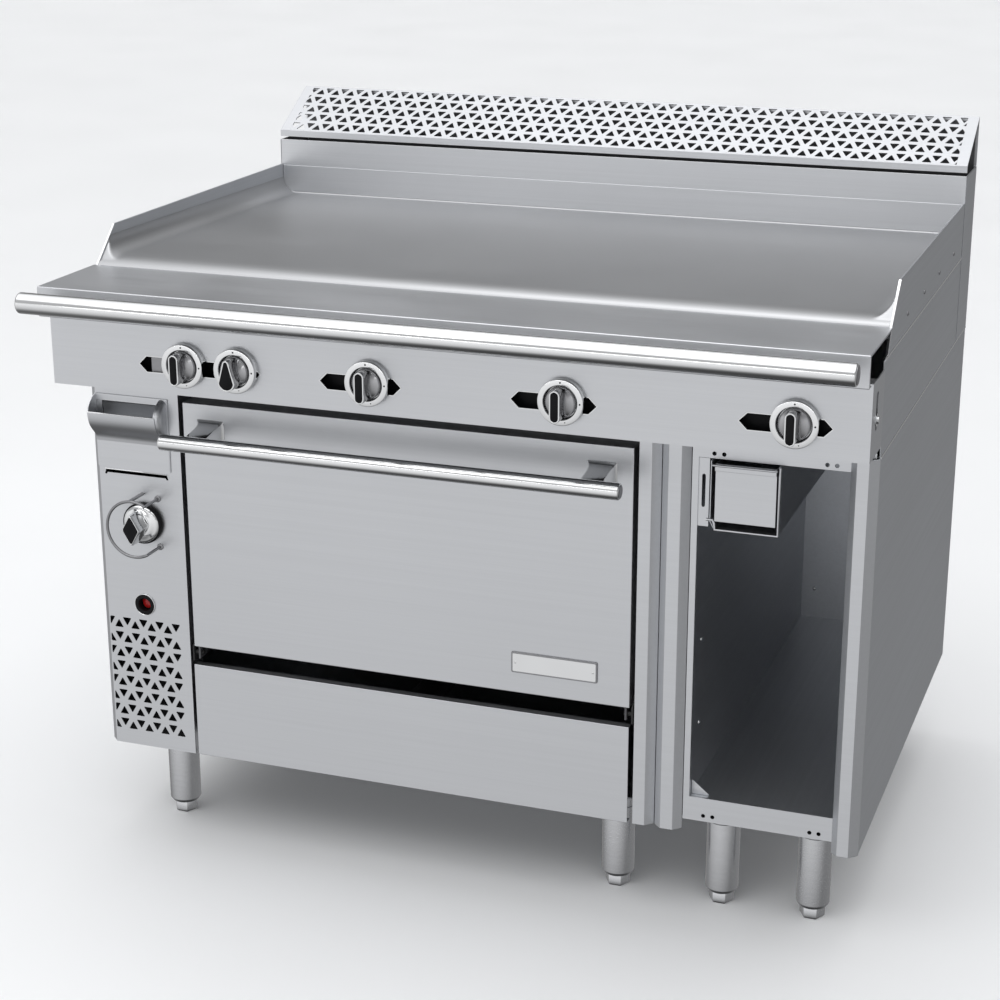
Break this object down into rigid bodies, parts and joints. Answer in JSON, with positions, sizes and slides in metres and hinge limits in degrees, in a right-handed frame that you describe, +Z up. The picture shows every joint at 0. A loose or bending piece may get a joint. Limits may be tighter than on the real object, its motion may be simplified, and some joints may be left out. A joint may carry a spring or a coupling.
{
  "type": "commercial gas range",
  "caption": "Restaurant gas range with a full-width griddle top, an oven with a drop-down door, an open cabinet with a grease drawer, a grab bar, a flue cap and adjustable legs.",
  "frame": {"origin": "centre of the footprint on the floor, under the middle of the whole box", "axes": "+X to the operator's right, +Y to the back of the range, +Z up"},
  "size_m": [1.224, 1.012, 1.107],
  "materials": {
    "brushed_front": "fine horizontal brushed stainless steel",
    "brushed_side": "darker brushed steel side sheet",
    "polished_trim": "polished chrome",
    "satin_casting": "satin cast handle bracket",
    "griddle_steel": "ground steel plate",
    "dark_liner": "dark enamel",
    "cast_burner": "raw casting",
    "rack_wire": "plated wire",
    "black_bezel": "black moulding",
    "red_button": "red moulding",
    "leg_steel": "brushed stainless tube"
  },
  "bodies": {
    "range_body": {"control_panel": "brushed_front", "control_pillar": "brushed_front", "kick_panel": "brushed_front", "cabinet_frame": "brushed_front", "oven_side_right": "brushed_front", "cabinet_side_left": "brushed_front", "rear_splash": "brushed_front", "flue_riser": "brushed_front", "flue_cap": "brushed_front", "plate_rail": "brushed_front", "oven_side_left": "brushed_side", "cabinet_side_right": "brushed_side", "upper_side_left": "brushed_side", "upper_side_right": "brushed_side", "splash_side_left": "brushed_side", "splash_side_right": "brushed_side", "rear_panel": "brushed_side", "base_pan": "brushed_side", "burner_tray": "brushed_side", "drawer_housing": "brushed_side", "grab_bar": "polished_trim", "knob_guard": "polished_trim", "dial_1": "polished_trim", "dial_2": "polished_trim", "dial_3": "polished_trim", "dial_4": "polished_trim", "dial_5": "polished_trim", "griddle_plate": "griddle_steel", "oven_liner": "dark_liner", "cabinet_liner": "dark_liner", "griddle_burners": "cast_burner", "oven_burner": "cast_burner", "gas_manifold": "cast_burner", "hinge_bracket_left": "cast_burner", "hinge_bracket_right": "cast_burner", "igniter_bezel": "black_bezel", "leg_front_1": "leg_steel", "leg_front_2": "leg_steel", "leg_front_3": "leg_steel", "leg_front_4": "leg_steel", "leg_rear_1": "leg_steel", "leg_rear_2": "leg_steel", "leg_rear_3": "leg_steel", "leg_rear_4": "leg_steel"},
    "oven_door": {"door_outer": "brushed_front", "door_liner": "dark_liner", "door_handle_bar": "polished_trim", "handle_bracket_left": "satin_casting", "handle_bracket_right": "satin_casting", "name_plate": "polished_trim"},
    "rack": {"oven_rack": "rack_wire"},
    "flap": {"access_flap": "brushed_front"},
    "drawer": {"grease_drawer": "brushed_front"},
    "oven_knob": {"thermostat_knob": "polished_trim"},
    "button": {"igniter_button": "red_button"},
    "valve_knob_1": {"knob_1": "polished_trim"},
    "valve_knob_2": {"knob_2": "polished_trim"},
    "valve_knob_3": {"knob_3": "polished_trim"},
    "valve_knob_4": {"knob_4": "polished_trim"},
    "valve_knob_5": {"knob_5": "polished_trim"}
  },
  "joints": [
    {"name": "oven_door_hinge", "type": "hinge", "parent": "range_body", "child": "oven_door", "pos_m": [-0.09055, -0.3035, 0.325], "axis": [1, 0, 0], "range_deg": [0, 90]},
    {"name": "rack_slide", "type": "slide", "parent": "range_body", "child": "rack", "axis": [0, -1, 0], "range_m": [0, 0.32]},
    {"name": "access_flap_hinge", "type": "hinge", "parent": "range_body", "child": "flap", "pos_m": [-0.535, -0.3165, 0.622], "axis": [1, 0, 0], "range_deg": [0, 60]},
    {"name": "grease_drawer_slide", "type": "slide", "parent": "range_body", "child": "drawer", "axis": [0, -1, 0], "range_m": [0, 0.45]},
    {"name": "thermostat_turn", "type": "hinge", "parent": "range_body", "child": "oven_knob", "pos_m": [-0.524, -0.3355, 0.536], "axis": [0, 1, 0], "range_deg": [0, 300]},
    {"name": "igniter_push", "type": "slide", "parent": "range_body", "child": "button", "axis": [0, 1, 0], "range_m": [0, 0.005], "stiffness_N_per_m": 700},
    {"name": "knob_1_turn", "type": "hinge", "parent": "range_body", "child": "valve_knob_1", "pos_m": [-0.3905, -0.4255, 0.822], "axis": [0, 1, 0], "range_deg": [0, 165]},
    {"name": "knob_2_turn", "type": "hinge", "parent": "range_body", "child": "valve_knob_2", "pos_m": [-0.3062, -0.4255, 0.822], "axis": [0, 1, 0], "range_deg": [0, 165]},
    {"name": "knob_3_turn", "type": "hinge", "parent": "range_body", "child": "valve_knob_3", "pos_m": [-0.0996, -0.4255, 0.822], "axis": [0, 1, 0], "range_deg": [0, 165]},
    {"name": "knob_4_turn", "type": "hinge", "parent": "range_body", "child": "valve_knob_4", "pos_m": [0.1884, -0.4255, 0.822], "axis": [0, 1, 0], "range_deg": [0, 165]},
    {"name": "knob_5_turn", "type": "hinge", "parent": "range_body", "child": "valve_knob_5", "pos_m": [0.5122, -0.4255, 0.822], "axis": [0, 1, 0], "range_deg": [0, 165]}
  ],
  "couplings": [
    {"joint": "rack_slide", "follows": "oven_door_hinge", "m_per_rad": 0.2}
  ]
}
